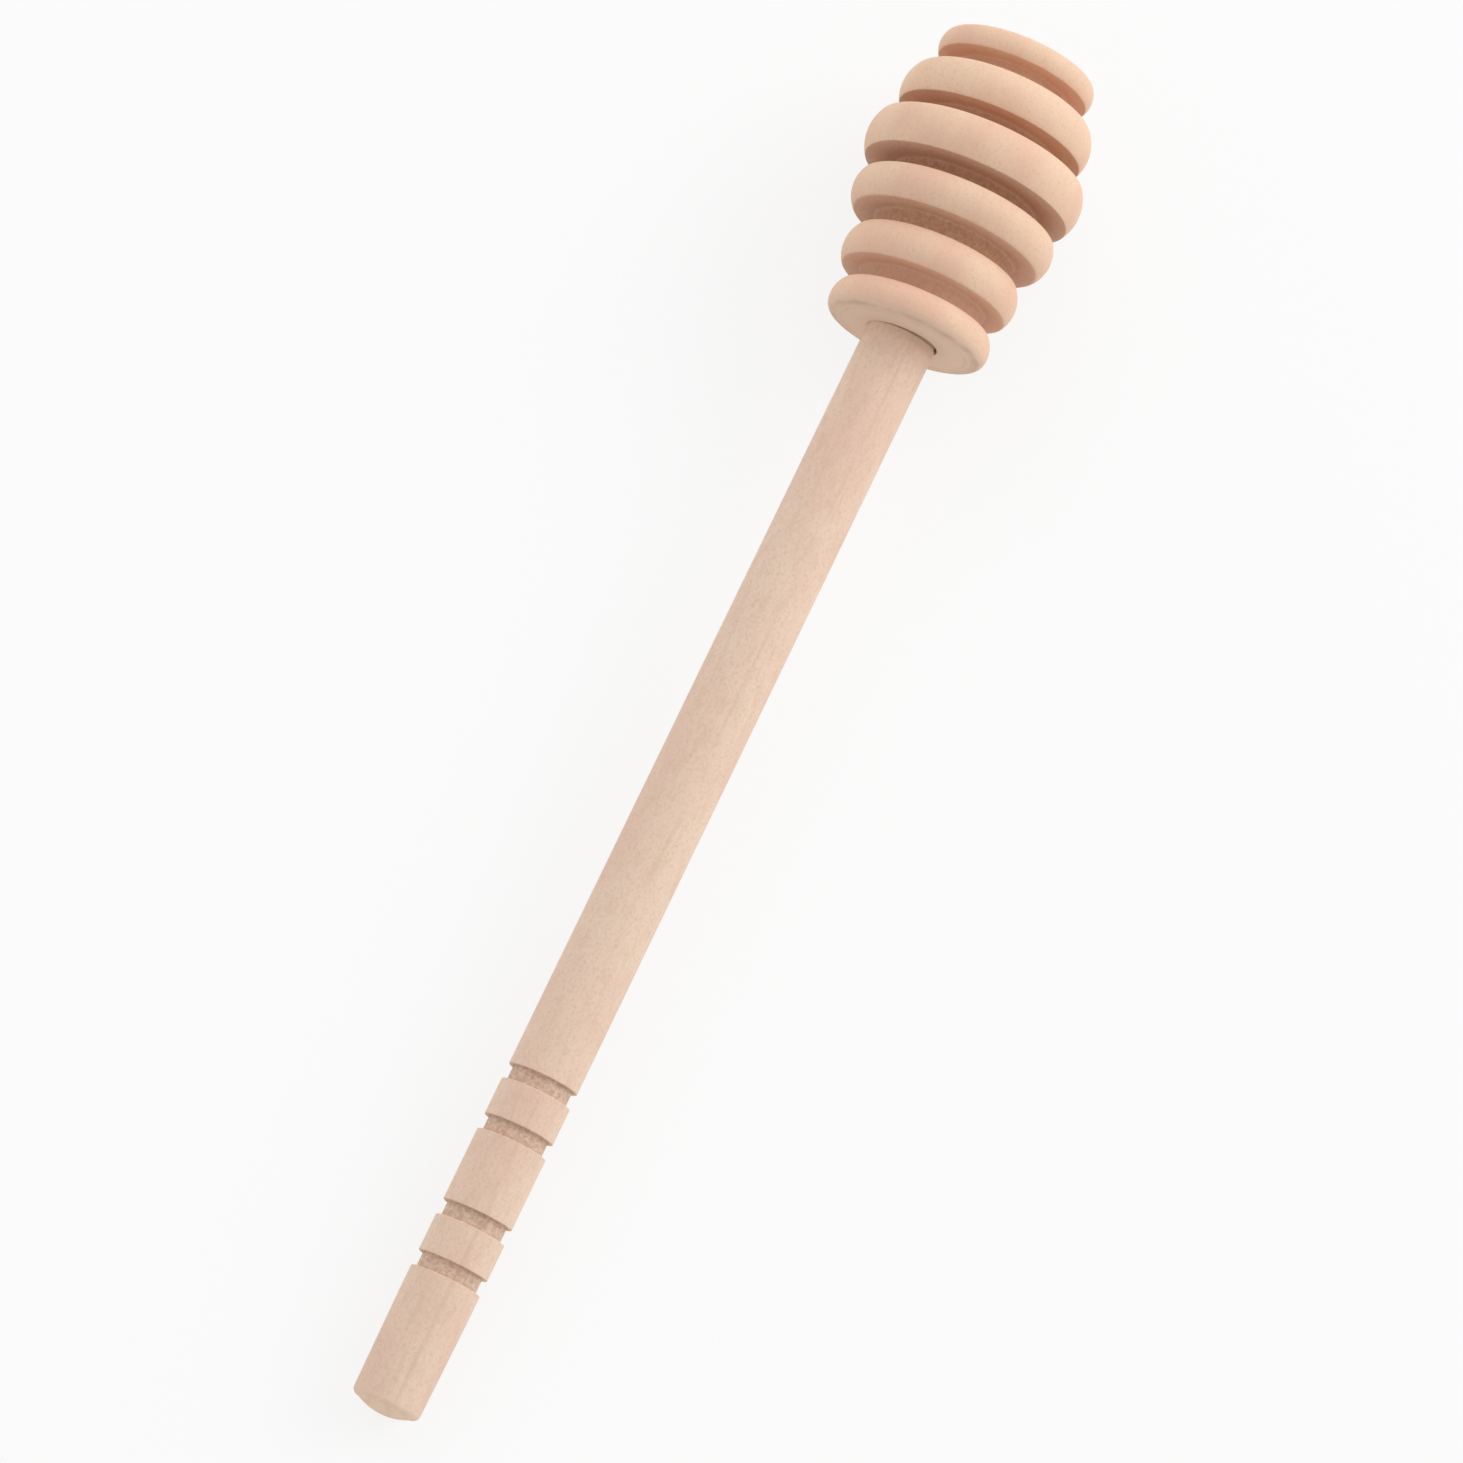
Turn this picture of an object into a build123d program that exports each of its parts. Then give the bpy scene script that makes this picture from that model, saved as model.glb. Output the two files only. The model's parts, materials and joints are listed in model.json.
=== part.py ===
from build123d import *
import os
from math import asin, atan, cos, radians, sin, sqrt, tan

# Honey dipper, lying on its side on a table. Lengths are in millimetres, angles in degrees.
# A turned wooden head with six rings is glued onto a plain dowel handle.
# Heights on the head are measured from its flat face, where the handle enters, towards the tip.
# Places on the handle are measured from the rim of its free end, towards the head.

# Head
head_diameter = 25.3
stack_height = 34.7
groove_width = 2.1
tip_rise = 0.8
edge_chamfer = 0.15

# The core between the rings is one gentle barrel, widest near the middle of the stack.
core_foot_diameter = 13.8
core_waist_diameter = 16.4
core_neck_diameter = 12.6

# Each ring, from the handle to the tip. A ring's outside is one arc through three circles:
# its lower edge, its widest circle and its upper edge. Heights are shares of stack_height,
# the widest circle's height is a share of its ring's height, and radii are shares of the head's.
lower_edge_height_shares = (0.0, 0.162, 0.346, 0.523, 0.725, 0.922)
widest_height_shares = (0.44, 0.44, 0.50, 0.50, 0.44, 0.40)
lower_edge_radius_shares = (0.700, 0.758, 0.857, 0.942, 0.846, 0.692)
widest_radius_shares = (0.741, 0.805, 0.929, 1.0, 0.881, 0.720)
upper_edge_radius_shares = (0.680, 0.738, 0.890, 0.942, 0.785, 0.672)

# The corners are sanded round by shares of the ring's height. All upper edges are, but only the
# first three lower ones, from the face's own rim: the rest are just broken with a chamfer.
lower_round_shares = (0.426, 0.08, 0.17)
upper_round_shares = (0.14, 0.12, 0.12, 0.10, 0.33, 0.41)

# Handle
handle_diameter = 8.0
handle_reach = 129.25
end_dome_rise = 0.75
end_round = 0.8
end_taper = 0.15
end_taper_length = 11.5

# Four shallow bands are cut round the handle, in two pairs.
band_pairs = 2
bands_per_pair = 2
band_width = 1.75
band_depth = 0.55
band_from_end = 15.65
band_pitch = 5.95
pair_pitch = 16.0

# Glued joint: the socket is bored into the head a little askew, so the head leans on the handle
lean_angle = 2.75
socket_depth = 9.6
socket_clearance = 0.12
drill_point_angle = 118.0
tenon_relief = 0.2
shoulder_clearance = 0.05
tenon_chamfer = 0.5
tenon_gap = 0.4
glue_setback = 1.2

# Sizes that follow from those above
last_ring = len(lower_edge_height_shares) - 1
head_radius = head_diameter / 2
handle_radius = handle_diameter / 2
tenon_radius = handle_radius - tenon_relief
socket_radius = handle_radius + socket_clearance
socket_end = handle_reach + socket_depth
drill_point_height = socket_radius / tan(radians(drill_point_angle / 2))
end_radius = handle_radius - end_taper
dome_foot_radius = end_radius - end_round

# The two axes cross halfway down the socket. As the head leans, the tenon's shoulder almost
# touches its face on one side and leaves a gap on the other.
lean = radians(lean_angle)
pivot_height = socket_depth / 2
pivot_reach = handle_reach + pivot_height
tenon_start = handle_reach - shoulder_clearance - handle_radius * sin(lean)
tenon_end = socket_end - tenon_gap


def sphere_radius(foot_radius, rise):
    """Radius of the sphere that a shallow dome is cut from."""
    return (foot_radius**2 + rise**2) / (2 * rise)


def ring_circles(ring):
    """Height and radius of a ring's lower edge, widest circle and upper edge."""
    low = stack_height * lower_edge_height_shares[ring]
    high = stack_height
    if ring < last_ring:
        high = stack_height * lower_edge_height_shares[ring + 1] - groove_width
    middle = low + (high - low) * widest_height_shares[ring]
    return (
        (low, head_radius * lower_edge_radius_shares[ring]),
        (middle, head_radius * widest_radius_shares[ring]),
        (high, head_radius * upper_edge_radius_shares[ring]),
    )


def ring_round(ring, share):
    """Radius of a ring's corner, from its share of the ring's height."""
    lower_edge, widest, upper_edge = ring_circles(ring)
    return (upper_edge[0] - lower_edge[0]) * share


# Lying pose. The dipper touches the table at its widest ring and at the rim of its free end,
# so the handle's axis rises towards the head by the angle lie. Both touching surfaces are round
# in section: a circle of centres about the axis, with the section's own radius round it.
widest_ring = widest_radius_shares.index(max(widest_radius_shares))
ring_low, ring_widest, ring_high = ring_circles(widest_ring)
ring_section_radius = sphere_radius((ring_high[0] - ring_low[0]) / 2, ring_widest[1] - ring_low[1])
pivot_to_ring = ring_widest[0] - pivot_height
pivot_to_rim = pivot_reach - end_round
support_span = pivot_to_rim + pivot_to_ring * cos(lean)
centres_step = (ring_widest[1] - ring_section_radius) - dome_foot_radius
section_step = ring_section_radius - end_round
lie = atan(centres_step / support_span) + asin(section_step / sqrt(support_span**2 + centres_step**2))

# The origin is on the table, under the middle of the dipper's length and of its widest ring.
tip_round = ring_round(last_ring, upper_round_shares[last_ring])
tip_foot_radius = head_radius * upper_edge_radius_shares[last_ring] - tip_round
tip_sphere_radius = sphere_radius(tip_foot_radius, tip_rise)
end_sphere_radius = sphere_radius(dome_foot_radius, end_dome_rise)
tip_sphere_place = stack_height + tip_rise - tip_sphere_radius - pivot_height
front_reach = tip_sphere_place * cos(lean) * cos(lie) + tip_sphere_radius
back_reach = (pivot_reach - end_sphere_radius + end_dome_rise) * cos(lie) + end_sphere_radius
rim_lift = dome_foot_radius * cos(lie) + end_round
pivot = Vector(
    (back_reach - front_reach) / 2,
    -pivot_to_ring * sin(lean),
    rim_lift + pivot_to_rim * sin(lie),
)

# Section planes: local x runs along the piece's own axis, towards the tip, and local y is radial.
# The handle lies in the upright plane through the x axis, and the head leans out of it sideways.
handle_way = Vector(cos(lie), 0, sin(lie))
sideways = Vector(0, 1, 0)
head_way = handle_way * cos(lean) + sideways * sin(lean)
head_normal = handle_way * sin(lean) - sideways * cos(lean)
handle_plane = Plane(origin=pivot - handle_way * pivot_reach, x_dir=handle_way, z_dir=-sideways)
head_plane = Plane(origin=pivot - head_way * pivot_height, x_dir=head_way, z_dir=head_normal)
handle_axis = Axis(handle_plane.origin, handle_way)
head_axis = Axis(head_plane.origin, head_way)

# Head: the core, six rings, a crowned tip, and the socket bored into the face along the handle's axis
core_foot = (ring_circles(0)[2][0], core_foot_diameter / 2)
core_waist = (ring_widest[0], core_waist_diameter / 2)
core_neck = (ring_circles(last_ring)[0][0], core_neck_diameter / 2)

with BuildPart() as dipper_head:
    with BuildSketch(head_plane):
        with BuildLine():
            ThreePointArc(core_foot, core_waist, core_neck)
            Polyline(core_neck, (core_neck[0], 0), (core_foot[0], 0), core_foot)
        make_face()
    revolve(axis=head_axis)

    for ring in range(last_ring + 1):
        lower_edge, widest, upper_edge = ring_circles(ring)
        with BuildSketch(head_plane) as ring_section:
            with BuildLine():
                ThreePointArc(lower_edge, widest, upper_edge)
                Polyline(upper_edge, (upper_edge[0], 0), (lower_edge[0], 0), lower_edge)
            make_face()
            lower_corner = ring_section.vertices().group_by(Axis.X)[0].sort_by(Axis.Y)[-1]
            if ring < len(lower_round_shares):
                fillet(lower_corner, ring_round(ring, lower_round_shares[ring]))
            else:
                chamfer(lower_corner, edge_chamfer)
            upper_corner = ring_section.vertices().group_by(Axis.X)[-1].sort_by(Axis.Y)[-1]
            fillet(upper_corner, ring_round(ring, upper_round_shares[ring]))
        revolve(axis=head_axis)

    with BuildSketch(head_plane):
        with BuildLine():
            RadiusArc((stack_height, tip_foot_radius), (stack_height + tip_rise, 0), tip_sphere_radius)
            Polyline((stack_height + tip_rise, 0), (stack_height, 0), (stack_height, tip_foot_radius))
        make_face()
    revolve(axis=head_axis)

    with BuildSketch(handle_plane):
        with BuildLine():
            Polyline(
                (tenon_start, 0),
                (tenon_start, socket_radius),
                (socket_end, socket_radius),
                (socket_end + drill_point_height, 0),
                close=True,
            )
        make_face()
    revolve(axis=handle_axis, mode=Mode.SUBTRACT)
dipper_head.part.label = "dipper_head"

# Handle: a dowel with a domed free end, a chamfered tenon and the four bands
band_places = [
    band_from_end + pair * pair_pitch + band * band_pitch
    for pair in range(band_pairs)
    for band in range(bands_per_pair)
]

with BuildPart() as handle:
    with BuildSketch(handle_plane):
        with BuildLine():
            RadiusArc((-end_dome_rise, 0), (0, dome_foot_radius), end_sphere_radius)
            RadiusArc((0, dome_foot_radius), (end_round, end_radius), end_round)
            Polyline(
                (-end_dome_rise, 0),
                (tenon_end, 0),
                (tenon_end, tenon_radius - tenon_chamfer),
                (tenon_end - tenon_chamfer, tenon_radius),
                (tenon_start, tenon_radius),
                (tenon_start, handle_radius),
                (end_taper_length, handle_radius),
                (end_round, end_radius),
            )
        make_face()
    revolve(axis=handle_axis)
    with BuildSketch(handle_plane):
        with Locations(*[(place, handle_radius) for place in band_places]):
            Rectangle(band_width, 2 * band_depth)
    revolve(axis=handle_axis, mode=Mode.SUBTRACT)
handle.part.label = "handle"

# Glue: what fills the socket round the tenon, short of the mouth
with BuildPart() as joint_glue:
    with BuildSketch(handle_plane):
        with BuildLine():
            Polyline(
                (handle_reach + glue_setback, 0),
                (handle_reach + glue_setback, socket_radius),
                (socket_end, socket_radius),
                (socket_end + drill_point_height, 0),
                close=True,
            )
        make_face()
    revolve(axis=handle_axis)
    add(handle.part, mode=Mode.SUBTRACT)
joint_glue.part.label = "joint_glue"

os.makedirs("parts", exist_ok=True)
export_step(dipper_head.part, "parts/dipper_head.step")
export_step(handle.part, "parts/handle.step")
export_step(joint_glue.part, "parts/joint_glue.step")
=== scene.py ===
import bpy
import json
from math import cos, pi, radians, sin, sqrt, tan
from mathutils import Matrix, Vector


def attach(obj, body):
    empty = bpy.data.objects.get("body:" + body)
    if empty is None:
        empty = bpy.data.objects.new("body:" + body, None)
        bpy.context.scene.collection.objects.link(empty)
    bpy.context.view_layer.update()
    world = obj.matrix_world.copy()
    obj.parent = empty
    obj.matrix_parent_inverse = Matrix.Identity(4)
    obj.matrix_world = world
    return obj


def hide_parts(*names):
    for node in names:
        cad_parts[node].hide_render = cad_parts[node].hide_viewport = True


# Lengths are in metres. An outline is a list of (radius, height) points about the lathe's axis.
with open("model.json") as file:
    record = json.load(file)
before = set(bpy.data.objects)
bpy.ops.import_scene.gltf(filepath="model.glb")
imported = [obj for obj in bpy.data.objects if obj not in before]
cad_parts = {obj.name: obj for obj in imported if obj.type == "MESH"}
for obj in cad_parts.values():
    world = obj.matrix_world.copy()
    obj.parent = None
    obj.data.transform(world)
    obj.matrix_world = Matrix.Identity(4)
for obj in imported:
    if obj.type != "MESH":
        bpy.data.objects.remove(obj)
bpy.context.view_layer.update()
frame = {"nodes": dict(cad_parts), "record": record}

# Dipper head
# One piece of pale birch, turned on a lathe: six rounded rings stand on a barrel-shaped core, with
# deep grooves parted in between them. The socket for the handle is bored into its face a little
# askew, so the head leans to one side.
head_radius = 0.01265
stack_height = 0.0347
groove_width = 0.0021
groove_round = 0.0004
tip_rise = 0.0008
core_radii = (0.0069, 0.0082, 0.0063)
face_radii = (0.003, 0.0071)
socket_radius = 0.00412
socket_depth = 0.0096
socket_aside = 0.00007
drill_start = -0.001
drill_point_rise = 0.0024
drill_point_radius = 0.0001
lean = radians(2.75)

# Each ring, from the handle to the tip. Its lower edge's height is a share of the stack's, its
# widest circle's height and its rounds are shares of its own, and its radii are of the head's.
lower_height_shares = (0.0, 0.162, 0.346, 0.523, 0.725, 0.922)
widest_height_shares = (0.44, 0.44, 0.50, 0.50, 0.44, 0.40)
lower_radius_shares = (0.700, 0.758, 0.857, 0.942, 0.846, 0.692)
widest_radius_shares = (0.741, 0.805, 0.929, 1.0, 0.881, 0.720)
upper_radius_shares = (0.680, 0.738, 0.890, 0.942, 0.785, 0.672)
lower_round_shares = (0.426, 0.08, 0.17, 0.035, 0.035, 0.055)
upper_round_shares = (0.14, 0.12, 0.12, 0.10, 0.33, 0.41)
broad_round_share = 0.1

around = 192
core_steps = 200
arc_steps = 14
crown_steps = 12
broad_round_steps = 10
upper_round_steps = 8
small_round_steps = 4
weld_distance = 1e-7
sharp_angle = radians(28)


def arc_points(first, middle, last, steps):
    """Points of the arc through three points, ends included."""
    (ax, ay), (bx, by), (cx, cy) = first, middle, last
    d = 2 * (ax * (by - cy) + bx * (cy - ay) + cx * (ay - by))
    a2, b2, c2 = ax * ax + ay * ay, bx * bx + by * by, cx * cx + cy * cy
    centre = Vector((
        (a2 * (by - cy) + b2 * (cy - ay) + c2 * (ay - by)) / d,
        (a2 * (cx - bx) + b2 * (ax - cx) + c2 * (bx - ax)) / d,
    ))
    start = Vector(first) - centre
    swing = start.angle_signed(Vector(last) - centre)
    points = []
    for step in range(steps + 1):
        angle = -swing * step / steps
        points.append(tuple(centre + Matrix.Rotation(angle, 2) @ start))
    return [first] + points[1:-1] + [last]


def turn_on_lathe(name, outline):
    """A turned solid on the Z axis: the first point's circle is extruded up the outline."""
    bpy.ops.object.select_all(action="DESELECT")
    radius, height = outline[0]
    bpy.ops.mesh.primitive_circle_add(
        vertices=around, radius=radius, fill_type="TRIFAN", location=(0, 0, height)
    )
    piece = bpy.context.object
    piece.name = name
    piece.data.name = name
    bpy.ops.object.transform_apply(location=True)
    bpy.ops.object.mode_set(mode="EDIT")
    bpy.ops.mesh.select_mode(type="EDGE")
    bpy.ops.mesh.select_all(action="SELECT")
    bpy.ops.mesh.region_to_loop()
    for (r0, h0), (r1, h1) in zip(outline, outline[1:]):
        bpy.ops.mesh.extrude_edges_move(TRANSFORM_OT_translate={"value": (0, 0, h1 - h0)})
        bpy.ops.transform.resize(value=(r1 / r0, r1 / r0, 1), center_override=(0, 0, h1))
    bpy.ops.mesh.edge_face_add()
    bpy.ops.mesh.poke()
    bpy.ops.mesh.select_all(action="SELECT")
    bpy.ops.mesh.remove_doubles(threshold=weld_distance)
    bpy.ops.mesh.normals_make_consistent(inside=False)
    bpy.ops.object.mode_set(mode="OBJECT")
    return piece


def walk(line, reach):
    """The place at that distance along a line of points, and how many points lie before it."""
    for passed, (here, ahead) in enumerate(zip(line, line[1:])):
        step = Vector(ahead) - Vector(here)
        if step.length >= reach:
            return tuple(Vector(here) + step * (reach / step.length)), passed
        reach -= step.length
    return line[-1], len(line) - 1


def round_corner(line, corner, radius, steps):
    """The outline with one corner rounded: the curve touches both sides where an arc would."""
    at = line.index(corner)
    into = Vector(corner) - Vector(line[at - 1])
    out_of = Vector(line[at + 1]) - Vector(corner)
    reach = radius * tan(into.angle(out_of) / 2)
    start, back = walk(line[at::-1], reach)
    end, ahead = walk(line[at:], reach)
    curve = []
    for step in range(steps + 1):
        t = step / steps
        point = Vector(start) * (1 - t) ** 2 + Vector(corner) * 2 * t * (1 - t) + Vector(end) * t**2
        curve.append(tuple(point))
    return line[: at - back] + curve + line[at + ahead + 1 :]


def select_only(piece):
    """Makes a piece the only one that operators act on."""
    bpy.ops.object.select_all(action="DESELECT")
    piece.select_set(True)
    bpy.context.view_layer.objects.active = piece


def lay_down(piece, place, along, across):
    """Puts a piece made on the Z axis in its place, so that Z runs along its real axis."""
    third = along.cross(across)
    turn = Matrix((across, third, along)).transposed().to_4x4()
    piece.matrix_world = Matrix.Translation(place) @ turn
    select_only(piece)
    bpy.ops.object.transform_apply(location=True, rotation=True, scale=True)
    bpy.ops.object.shade_smooth_by_angle(angle=sharp_angle)
    return turn


last_ring = len(lower_height_shares) - 1
rings = []
for ring in range(last_ring + 1):
    low = stack_height * lower_height_shares[ring]
    high = stack_height
    if ring < last_ring:
        high = stack_height * lower_height_shares[ring + 1] - groove_width
    rings.append((
        (head_radius * lower_radius_shares[ring], low),
        (head_radius * widest_radius_shares[ring], low + (high - low) * widest_height_shares[ring]),
        (head_radius * upper_radius_shares[ring], high),
    ))

# The core is one arc from the first groove to the last, widest inside the widest ring.
widest_ring = widest_radius_shares.index(max(widest_radius_shares))
core_foot = (core_radii[0], rings[0][2][1])
core_waist = (core_radii[1], rings[widest_ring][1][1])
core_neck = (core_radii[2], rings[last_ring][0][1])
core_line = arc_points(core_foot, core_waist, core_neck, core_steps)


def core_radius(height):
    """Radius of the core at that height."""
    return min(core_line, key=lambda point: abs(point[1] - height))[0]


outline = [(radius, 0) for radius in face_radii]
for ring, (lower, widest, upper) in enumerate(rings):
    if ring:
        outline.append((core_radius(lower[1]), lower[1]))
    outline += arc_points(lower, widest, upper, arc_steps)
    if ring < last_ring:
        outline.append((core_radius(upper[1]), upper[1]))
        groove_middle = upper[1] + groove_width / 2
        outline.append((core_radius(groove_middle), groove_middle))
(_, tip_low), _, (tip_radius, tip_high) = rings[last_ring]
crown_foot = tip_radius - (tip_high - tip_low) * upper_round_shares[last_ring]
crown_radius = (crown_foot**2 + tip_rise**2) / (2 * tip_rise)
for step in range(crown_steps):
    reach = crown_foot * (1 - step / crown_steps)
    rise = sqrt(crown_radius**2 - reach**2) - (crown_radius - tip_rise)
    outline.append((reach, stack_height + rise))
for (lower, _, upper), low_share, high_share in zip(rings, lower_round_shares, upper_round_shares):
    for level in (lower[1], upper[1]):
        groove_corner = (core_radius(level), level)
        if groove_corner in outline:
            outline = round_corner(outline, groove_corner, groove_round, small_round_steps)
    height = upper[1] - lower[1]
    lower_steps = broad_round_steps if low_share > broad_round_share else small_round_steps
    outline = round_corner(outline, lower, height * low_share, lower_steps)
    outline = round_corner(outline, upper, height * high_share, upper_round_steps)
head = turn_on_lathe("turned_head", outline)

# The drill stands a little aside, so the crevice round the dowel is wider on one side.
drill = turn_on_lathe("drill", [
    (socket_radius, drill_start),
    (socket_radius, socket_depth),
    (drill_point_radius, socket_depth + drill_point_rise),
])
middle = Matrix.Translation((0, 0, socket_depth / 2))
aside = Matrix.Translation((0, socket_aside, 0))
drill.matrix_world = middle @ aside @ Matrix.Rotation(-lean, 4, "X") @ middle.inverted()
select_only(head)
bpy.ops.object.modifier_add(type="BOOLEAN")
head.modifiers[-1].object = drill
bpy.ops.object.modifier_apply(modifier=head.modifiers[-1].name)
bpy.data.objects.remove(drill)

# The handle's axis is that of the grip mount, which points out of the free end. The head's axis
# crosses it halfway down the socket. The reach runs from the free end's rim to the head's face.
grip = frame["record"]["mounts"][0]
handle_way = -Vector(grip["axis"]).normalized()
sideways = Vector((0, 1, 0))
upwards = handle_way.cross(sideways)
rim_to_grip = 0.0828625
handle_reach = 0.12925
rim_place = Vector(grip["pos_m"]) - handle_way * rim_to_grip
pivot = rim_place + handle_way * (handle_reach + socket_depth / 2)
head_way = handle_way * cos(lean) + sideways * sin(lean)
face_place = pivot - head_way * (socket_depth / 2)
head_turn = lay_down(head, face_place, head_way, upwards)
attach(head, "root")
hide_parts("dipper_head")


class Flow:
    """One output in a material's nodes. Sums written with it add Math nodes."""

    def __init__(self, tree, socket=None):
        self.tree = tree
        self.socket = socket

    def node(self, kind, settings, inputs, output=0):
        """Adds a node, makes its settings, then sets or links its sockets."""
        made = self.tree.nodes.new(kind)
        for name, value in settings.items():
            setattr(made, name, value)
        for key, value in inputs.items():
            if isinstance(value, Flow):
                self.tree.links.new(value.socket, made.inputs[key])
            else:
                made.inputs[key].default_value = value
        return Flow(self.tree, made.outputs[output] if len(made.outputs) else None)

    def math(self, operation, *values):
        """A Math node on these values."""
        return self.node("ShaderNodeMath", {"operation": operation}, dict(enumerate(values)))

    def __add__(self, other):
        return self.math("ADD", self, other)

    __radd__ = __add__

    def __sub__(self, other):
        return self.math("SUBTRACT", self, other)

    def __rsub__(self, other):
        return self.math("SUBTRACT", other, self)

    def __mul__(self, other):
        return self.math("MULTIPLY", self, other)

    __rmul__ = __mul__

    def between(self, low, high):
        """0 below low, 1 above high and a smooth rise between."""
        return self.node(
            "ShaderNodeMapRange",
            {"interpolation_type": "SMOOTHSTEP"},
            {"Value": self, "From Min": low, "From Max": high},
        )

    def axes(self):
        """The x, y and z parts of a vector."""
        split = self.node("ShaderNodeSeparateXYZ", {}, {"Vector": self})
        return [Flow(self.tree, output) for output in split.socket.node.outputs]

    def blend(self, first, second):
        """The first colour where this is 0 and the second where it is 1."""
        # The Mix node's sockets share their names, so its colours go by number.
        return self.node(
            "ShaderNodeMix", {"data_type": "RGBA"}, {0: self, 6: first, 7: second}, 2
        )


def new_material(name):
    """An empty node material and the start of its flow."""
    material = bpy.data.materials.new(name)
    material.use_nodes = True
    material.node_tree.nodes.clear()
    return material, Flow(material.node_tree)


def own_coordinates(paint, place, turn):
    """Object coordinates brought to a turned piece's own axis: z runs along it from its foot."""
    objects = paint.node("ShaderNodeTexCoord", {}, {}, "Object")
    return paint.node(
        "ShaderNodeMapping",
        {"vector_type": "TEXTURE"},
        {"Vector": objects, "Location": place, "Rotation": turn.to_euler()},
    )


def grain(paint, own, scale, stretch, detail=2.0, roughness=0.5, shift=(0, 0, 0)):
    """Noise in the wood: scale per metre, drawn out along the axis by 1 / stretch."""
    drawn = paint.node(
        "ShaderNodeMapping",
        {},
        {"Vector": own, "Scale": (1, 1, stretch), "Location": shift},
    )
    return paint.node(
        "ShaderNodeTexNoise",
        {},
        {"Vector": drawn, "Scale": scale, "Detail": detail, "Roughness": roughness},
    )


def growth_layers(paint, own, slant):
    """The tree's growth layers: waves along a slant across the piece, a little bent."""
    bent = slant + grain(paint, own, scale=150, stretch=0.4, detail=1.0) * 10
    return paint.math("SINE", bent)


def dress(piece, material, paint, surface):
    """Ends a material's nodes with a surface, and gives the piece that material alone."""
    paint.node("ShaderNodeOutputMaterial", {}, {"Surface": surface})
    piece.data.materials.clear()
    piece.data.materials.append(material)


def dress_in_wood(piece, material, paint, colour, roughness, relief):
    """Gives a piece bare, sanded, matt wood with a shallow relief."""
    bump = paint.node(
        "ShaderNodeBump", {}, {"Height": relief, "Strength": 0.4, "Distance": 0.00004}
    )
    wood = paint.node(
        "ShaderNodeBsdfPrincipled",
        {},
        {
            "Base Color": colour,
            "Roughness": roughness,
            "Normal": bump,
            "Specular IOR Level": 0.35,
        },
    )
    dress(piece, material, paint, wood)


head_pale = (0.885, 0.622, 0.443, 1)
head_warm = (0.770, 0.475, 0.315, 1)
head_rosy = (0.855, 0.550, 0.400, 1)
face_grey = (0.840, 0.665, 0.525, 1)
# Brown for the painted shade in the grooves and for the circles scored on the face, then that
# painted shade's strength groove by groove from the handle
shade_and_score_brown = (0.540, 0.285, 0.165, 1)
groove_shade_strengths = (1.0, 1.7, 1.7, 1.3, 0.75)
head_finish, paint = new_material("bare_turned_birch")
own = own_coordinates(paint, face_place, head_turn)
x_part, y_part, z_part = own.axes()
radius_out = paint.math("SQRT", x_part * x_part + y_part * y_part)

# Sanded wood, with the tool's faint marks round the axis
clouds = grain(paint, own, scale=170, stretch=0.6)
fibres = grain(paint, own, scale=3800, stretch=0.07, detail=3.0)
pores = grain(paint, own, scale=3000, stretch=0.9, detail=3.0, roughness=0.6)
layers = growth_layers(paint, own, x_part * 2600 + y_part * 3200)
marks_at = paint.node("ShaderNodeCombineXYZ", {}, {"X": radius_out, "Z": z_part})
marks = paint.node(
    "ShaderNodeTexNoise", {}, {"Vector": marks_at, "Scale": 3600, "Detail": 2.0, "Roughness": 0.6}
)
colour = clouds.between(0.35, 0.7).blend(head_pale, head_rosy)
end_grain = z_part.between(stack_height - 0.0002, stack_height + 0.0001)
colour = (layers.between(0.1, 1.0) * (0.07 + end_grain * 0.13)).blend(colour, head_warm)
colour = (pores.between(0.48, 0.74) * 0.6).blend(colour, head_warm)
colour = (fibres.between(0.5, 0.8) * 0.08).blend(colour, head_warm)

# The flat face's greyer end grain, and the circles scored on it: radius, width and strength
scored_circles = ((0.0077, 0.0004, 0.45), (0.0084, 0.0004, 0.55), (0.0089, 0.0005, 1.0))
at_face = 1 - z_part.between(0.0001, 0.0009)
colour = (at_face * 0.65).blend(colour, face_grey)
wavering = radius_out + grain(paint, own, scale=260, stretch=1.0, detail=1.0) * 0.0008
scored = 0
for circle_radius, circle_width, strength in scored_circles:
    offset = paint.math("ABSOLUTE", wavering - circle_radius)
    scored = (1 - offset.between(0.00004, circle_width)) * strength + scored
worn = grain(paint, own, scale=420, stretch=1.0, roughness=0.6, shift=(0.2, 0.1, 0))
scored = scored * worn.between(0.1, 0.75) * (1 - z_part.between(0.0008, 0.0013))
colour = (scored * 0.5).blend(colour, shade_and_score_brown)

# Painted shade in the grooves, over their torn, mottled grain: deepest in the middle grooves and a
# little lighter close to the next ring
painted_groove_shade = 0
for (_, _, upper), (lower, _, _), tint in zip(rings, rings[1:], groove_shade_strengths):
    near_next = z_part.between(lower[1] - 0.0004, lower[1]) * 0.4
    on_core = z_part.between(upper[1] - 0.0001, upper[1]) - near_next
    past_groove = z_part.between(lower[1], lower[1] + 0.0001) * 0.6
    painted_groove_shade = (on_core - past_groove) * tint + painted_groove_shade
torn = grain(paint, own, scale=2200, stretch=1.0, detail=3.0, roughness=0.65, shift=(0.3, 0.1, 0))
colour = (painted_groove_shade * (0.43 + torn.between(0.35, 0.65) * 0.18)).blend(colour, shade_and_score_brown)
relief = fibres * 0.12 + pores * 0.8 + marks * 0.6 - scored * 0.8
dress_in_wood(head, head_finish, paint, colour, 0.58 + pores * 0.12, relief)

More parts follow.
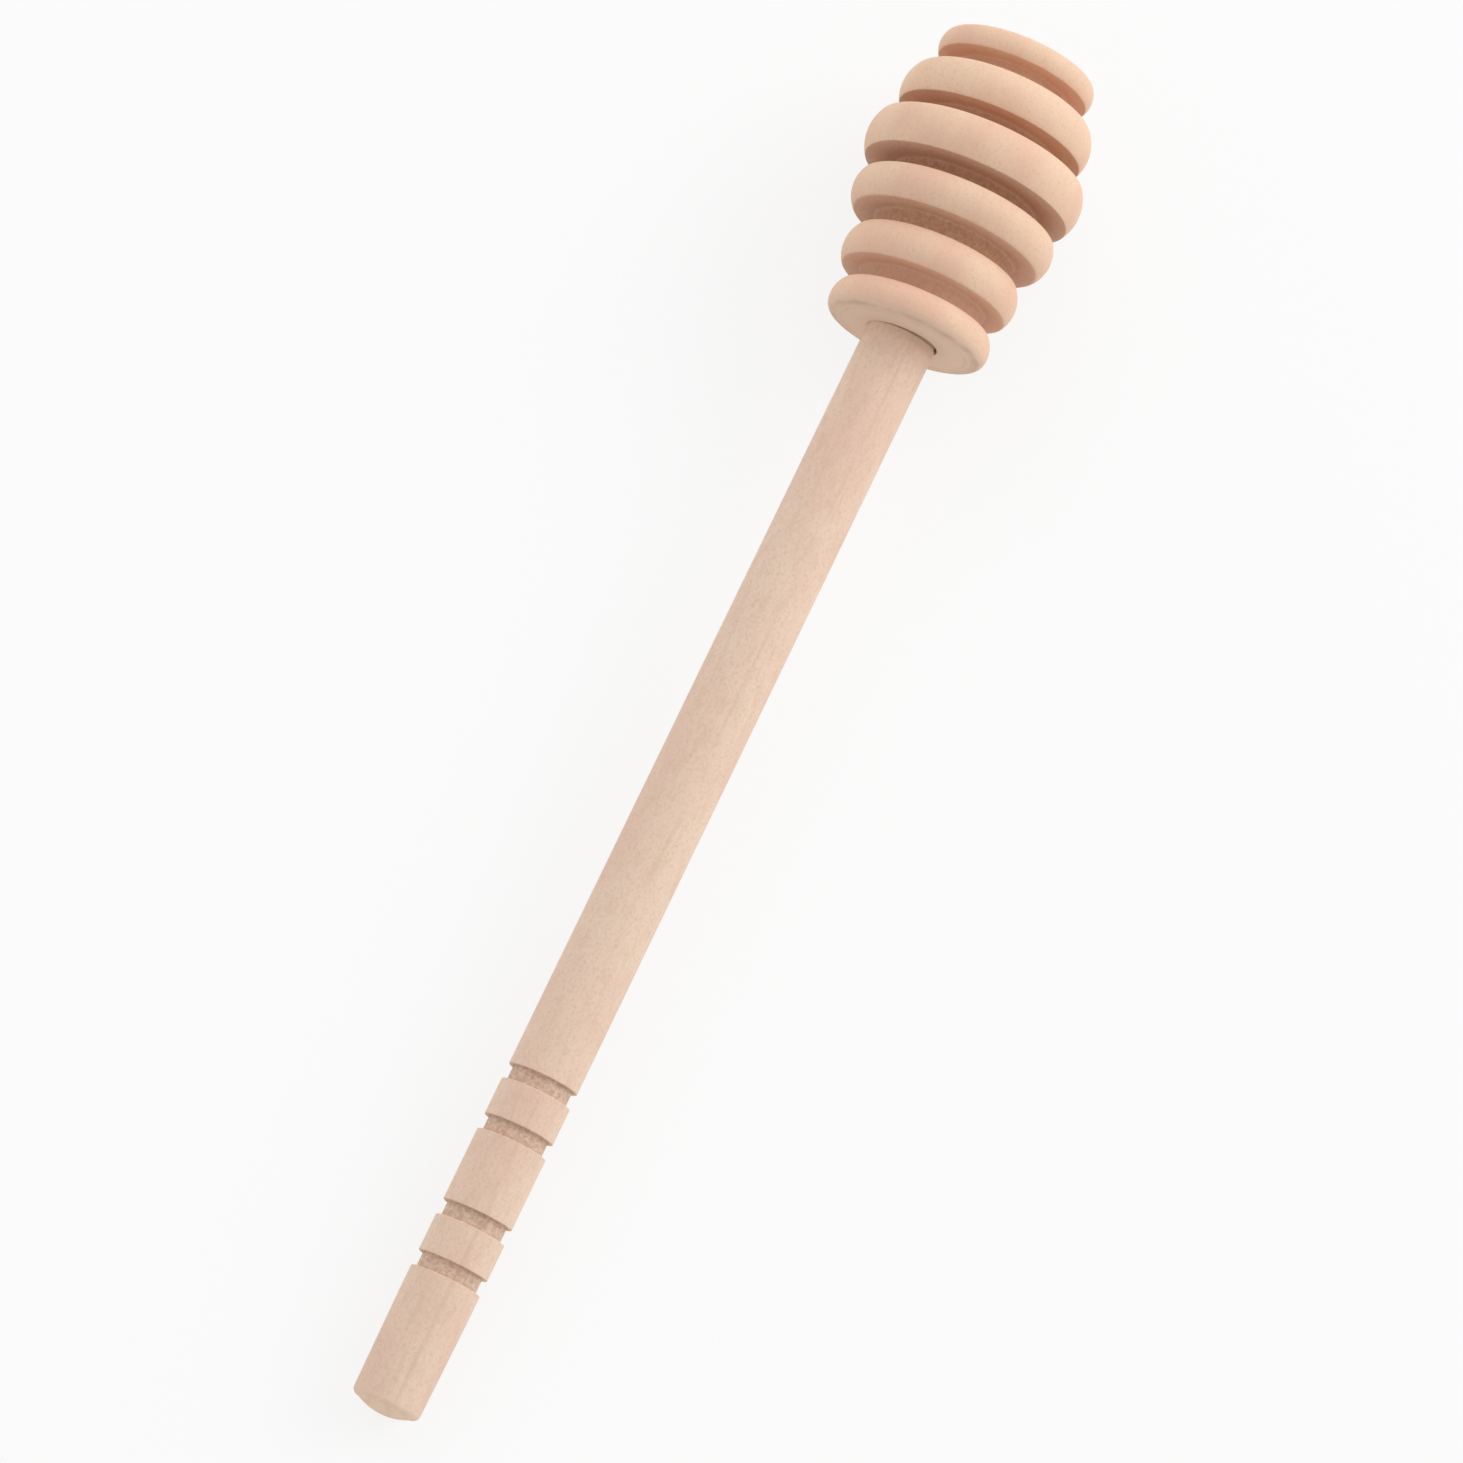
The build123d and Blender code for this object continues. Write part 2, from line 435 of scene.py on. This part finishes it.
# Handle
# A plain 8 mm birch dowel with a crowned free end, a little tapered by sanding. Four shallow bands
# are cut round it with a square tool, which leaves their floors rough, and its tenon is glued into
# the head.
handle_radius = 0.004
end_dome_rise = 0.00075
end_round = 0.0008
end_taper = 0.00015
end_taper_length = 0.0115
band_width = 0.00175
band_depth = 0.00055
band_edge = 0.00006
band_from_end = 0.01565
band_pitch = 0.00595
pair_pitch = 0.016
band_pairs = 2
bands_per_pair = 2
tenon_radius = 0.0038
tenon_chamfer = 0.0005
tenon_gap = 0.0004
shoulder_gap = 0.00014
dome_steps = 12
rim_steps = 8

end_radius = handle_radius - end_taper
dome_foot = end_radius - end_round
dome_radius = (dome_foot**2 + end_dome_rise**2) / (2 * end_dome_rise)
outline = []
for step in range(1, dome_steps + 1):
    reach = dome_foot * step / dome_steps
    drop = dome_radius - sqrt(dome_radius**2 - reach**2)
    outline.append((reach, drop - end_dome_rise))
for step in range(1, rim_steps + 1):
    angle = pi / 2 * step / rim_steps
    outline.append((dome_foot + end_round * sin(angle), end_round * (1 - cos(angle))))
outline.append((handle_radius, end_taper_length))
for pair in range(band_pairs):
    for band in range(bands_per_pair):
        start = band_from_end + pair * pair_pitch + band * band_pitch - band_width / 2
        outline += [
            (handle_radius, start - band_edge),
            (handle_radius - band_edge, start),
            (handle_radius - band_depth, start),
            (handle_radius - band_depth, start + band_width),
            (handle_radius - band_edge, start + band_width),
            (handle_radius, start + band_width + band_edge),
        ]
tenon_start = handle_reach - shoulder_gap
tenon_end = handle_reach + socket_depth - tenon_gap
outline += [
    (handle_radius, tenon_start),
    (tenon_radius, tenon_start),
    (tenon_radius, tenon_end - tenon_chamfer),
    (tenon_radius - tenon_chamfer, tenon_end),
]
handle = turn_on_lathe("dowel_handle", outline)
handle_turn = lay_down(handle, rim_place, handle_way, upwards)
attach(handle, "root")
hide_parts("handle")

dowel_pale = (0.895, 0.685, 0.535, 1)
dowel_warm = (0.710, 0.485, 0.350, 1)
dowel_rosy = (0.860, 0.610, 0.480, 1)
# Brown for the bands' rough floors, and for the painted shade by the head and low on the free end
band_and_shade_brown = (0.540, 0.370, 0.265, 1)
painted_end_light = (0.975, 0.718, 0.522, 1)
handle_finish, paint = new_material("bare_dowel_birch")
own = own_coordinates(paint, rim_place, handle_turn)
x_part, y_part, z_part = own.axes()
radius_out = paint.math("SQRT", x_part * x_part + y_part * y_part)

# Sanded wood, with faint marks across it from the sanding
clouds = grain(paint, own, scale=150, stretch=0.5)
fibres = grain(paint, own, scale=3400, stretch=0.06, detail=3.0)
pores = grain(paint, own, scale=3000, stretch=0.8, detail=3.0, roughness=0.65)
colour = clouds.between(0.35, 0.7).blend(dowel_pale, dowel_rosy)
colour = (pores.between(0.42, 0.76) * 0.6).blend(colour, dowel_warm)
colour = (fibres.between(0.5, 0.8) * 0.2).blend(colour, dowel_warm)
mottle = grain(paint, own, scale=900, stretch=0.4, shift=(0, 0.3, 0.1))
colour = (mottle.between(0.45, 0.75) * 0.3).blend(colour, dowel_warm)
sanding = grain(paint, own, scale=300, stretch=9.0, roughness=0.6, shift=(0.4, 0, 0.2))
colour = (sanding.between(0.5, 0.75) * 0.12).blend(colour, dowel_warm)

# One growth line that wavers along the dowel, broken here and there
line_aside = 0.0018
line_width = 0.00026
line_place = y_part + grain(paint, own, scale=420, stretch=0.03, detail=1.0) * 0.0016
line = 1 - paint.math("ABSOLUTE", line_place - line_aside).between(0.00003, line_width)
broken = grain(paint, own, scale=500, stretch=0.25, roughness=0.6, shift=(0.1, 0.2, 0.3))
colour = (line * broken.between(0.30, 0.60) * 0.38).blend(colour, dowel_warm)

# The bands' rough floors. The free end's dome is as slim as they are, so the mask starts past it.
floor_radius = handle_radius - band_depth
floor_mask = 1 - radius_out.between(floor_radius + 0.00003, handle_radius - 0.0002)
in_bands = floor_mask * z_part.between(0.010, 0.011)
torn = grain(paint, own, scale=2000, stretch=1.2, detail=3.0, roughness=0.7, shift=(0.3, 0.1, 0))
colour = (in_bands * (torn.between(0.34, 0.66) * 0.7 + 0.18)).blend(colour, band_and_shade_brown)

# Painted shade on the dowel next to the head's face, stronger on one side. The free end is painted
# paler as painted light, with painted shade low down on it
mouth_shade_reach = z_part.between(handle_reach - 0.0015, handle_reach - 0.0005)
painted_mouth_shade = mouth_shade_reach * y_part.between(-0.0045, 0.001)
colour = (painted_mouth_shade * 0.42).blend(colour, band_and_shade_brown)
# Painted light: the crowned free end, turned away from the lamps, is coloured paler than the side
at_end = 1 - z_part.between(-0.0002, 0.0011)
colour = (at_end * 0.85).blend(colour, painted_end_light)
layers = growth_layers(paint, own, x_part * 900 + y_part * 3400)
colour = (layers.between(0.1, 1.0) * at_end * 0.18).blend(colour, dowel_warm)
# Painted shade on the lower part of the free end, where it faces the table
painted_underside_shade = at_end * (0 - x_part).between(-0.0018, 0.0020)
colour = (painted_underside_shade * (torn * 0.5 + 0.2)).blend(colour, band_and_shade_brown)
relief = fibres * 0.3 + pores * 0.6 + sanding * 0.5 + in_bands * torn * 1.5
dress_in_wood(handle, handle_finish, paint, colour, 0.6 + pores * 0.12, relief)

# Joint glue
# Dried wood glue fills what the tenon leaves free in the socket and holds the two pieces together.
# It stops short of the mouth, so only a dark crevice shows there.
glue_amber = (0.62, 0.50, 0.30, 1)
glue_cloudy = (0.70, 0.60, 0.42, 1)
glue_finish, paint = new_material("dried_glue")
own = own_coordinates(paint, face_place, head_turn)
skin = grain(paint, own, scale=900, stretch=1.0, detail=3.0)
colour = skin.between(0.3, 0.7).blend(glue_amber, glue_cloudy)
glue = paint.node(
    "ShaderNodeBsdfPrincipled",
    {},
    {"Base Color": colour, "Roughness": 0.35 + skin * 0.2, "Specular IOR Level": 0.5},
)
dress(frame["nodes"]["joint_glue"], glue_finish, paint, glue)

# Table and backdrop
# A plain pale sheet that the dipper lies on. It keeps the dipper's soft shadow, and is close to
# white where the camera sees it.
sheet_size = 3.0
sheet_white = (0.93, 0.93, 0.93, 1)
pure_white = (1, 1, 1, 1)
glare_share = 0.8


def seen_directly(paint):
    """1 for what is seen, also mirrored or through glass, and 0 for what lights the dipper."""
    rays = paint.node("ShaderNodeLightPath", {}, {}, "Is Camera Ray")
    for kind in ("Is Glossy Ray", "Is Transmission Ray"):
        rays = rays + paint.node("ShaderNodeLightPath", {}, {}, kind)
    return rays


bpy.ops.object.select_all(action="DESELECT")
bpy.ops.mesh.primitive_plane_add(size=sheet_size, location=(0, 0, 0))
table = bpy.context.object
table.name = "table"
table_finish, paint = new_material("white_sheet")
sheet = paint.node(
    "ShaderNodeBsdfPrincipled", {}, {"Base Color": sheet_white, "Roughness": 0.9}
)
glare = paint.node("ShaderNodeEmission", {}, {"Color": pure_white, "Strength": 1.0})
lit_sheet = paint.node(
    "ShaderNodeMixShader", {}, {0: seen_directly(paint) * glare_share, 1: sheet, 2: glare}
)
dress(table, table_finish, paint, lit_sheet)

# Light and camera
# Two broad soft lamps stand beyond the head, the stronger one to the right, and white surroundings
# fill in. The camera looks down steeply from the handle's free end and is rolled, as in the photo.
glow_strength = 0.62
seen_glow = 0.36
lamp_size = 0.9
world = bpy.data.worlds.new("surroundings")
world.use_nodes = True
bpy.context.scene.world = world
world.node_tree.nodes.clear()
paint = Flow(world.node_tree)
white_glow = paint.node(
    "ShaderNodeBackground",
    {},
    {"Color": pure_white, "Strength": glow_strength + seen_directly(paint) * seen_glow},
)
paint.node("ShaderNodeOutputWorld", {}, {"Surface": white_glow})


def add_lamp(name, place, power):
    """A square area lamp at a place, facing the middle of the dipper."""
    data = bpy.data.lights.new(name, "AREA")
    data.size = lamp_size
    data.energy = power
    lamp = bpy.data.objects.new(name, data)
    bpy.context.scene.collection.objects.link(lamp)
    lamp.location = place
    lamp.rotation_euler = (-Vector(place)).to_track_quat("-Z", "Y").to_euler()


add_lamp("right_lamp", place=(0.705, -0.705, 0.530), power=5.9)
add_lamp("left_lamp", place=(0.705, 0.705, 0.530), power=2.8)

photo_width = 1463
focal_pixels = 5500
sensor_width = 36.0
camera_place = (-0.154007, -0.002743, 0.581607)
camera_way = Vector((0.258512, 0, -0.966013))
camera_roll = radians(25.767)
camera_data = bpy.data.cameras.new("camera")
camera_data.sensor_width = sensor_width
camera_data.lens = sensor_width * focal_pixels / photo_width
camera_data.clip_start = 0.01
camera = bpy.data.objects.new("camera", camera_data)
bpy.context.scene.collection.objects.link(camera)
camera.location = camera_place
level = camera_way.to_track_quat("-Z", "Y").to_matrix()
camera.rotation_euler = (level @ Matrix.Rotation(camera_roll, 3, "Z")).to_euler()
bpy.context.scene.camera = camera
bpy.context.scene.view_settings.view_transform = "Standard"
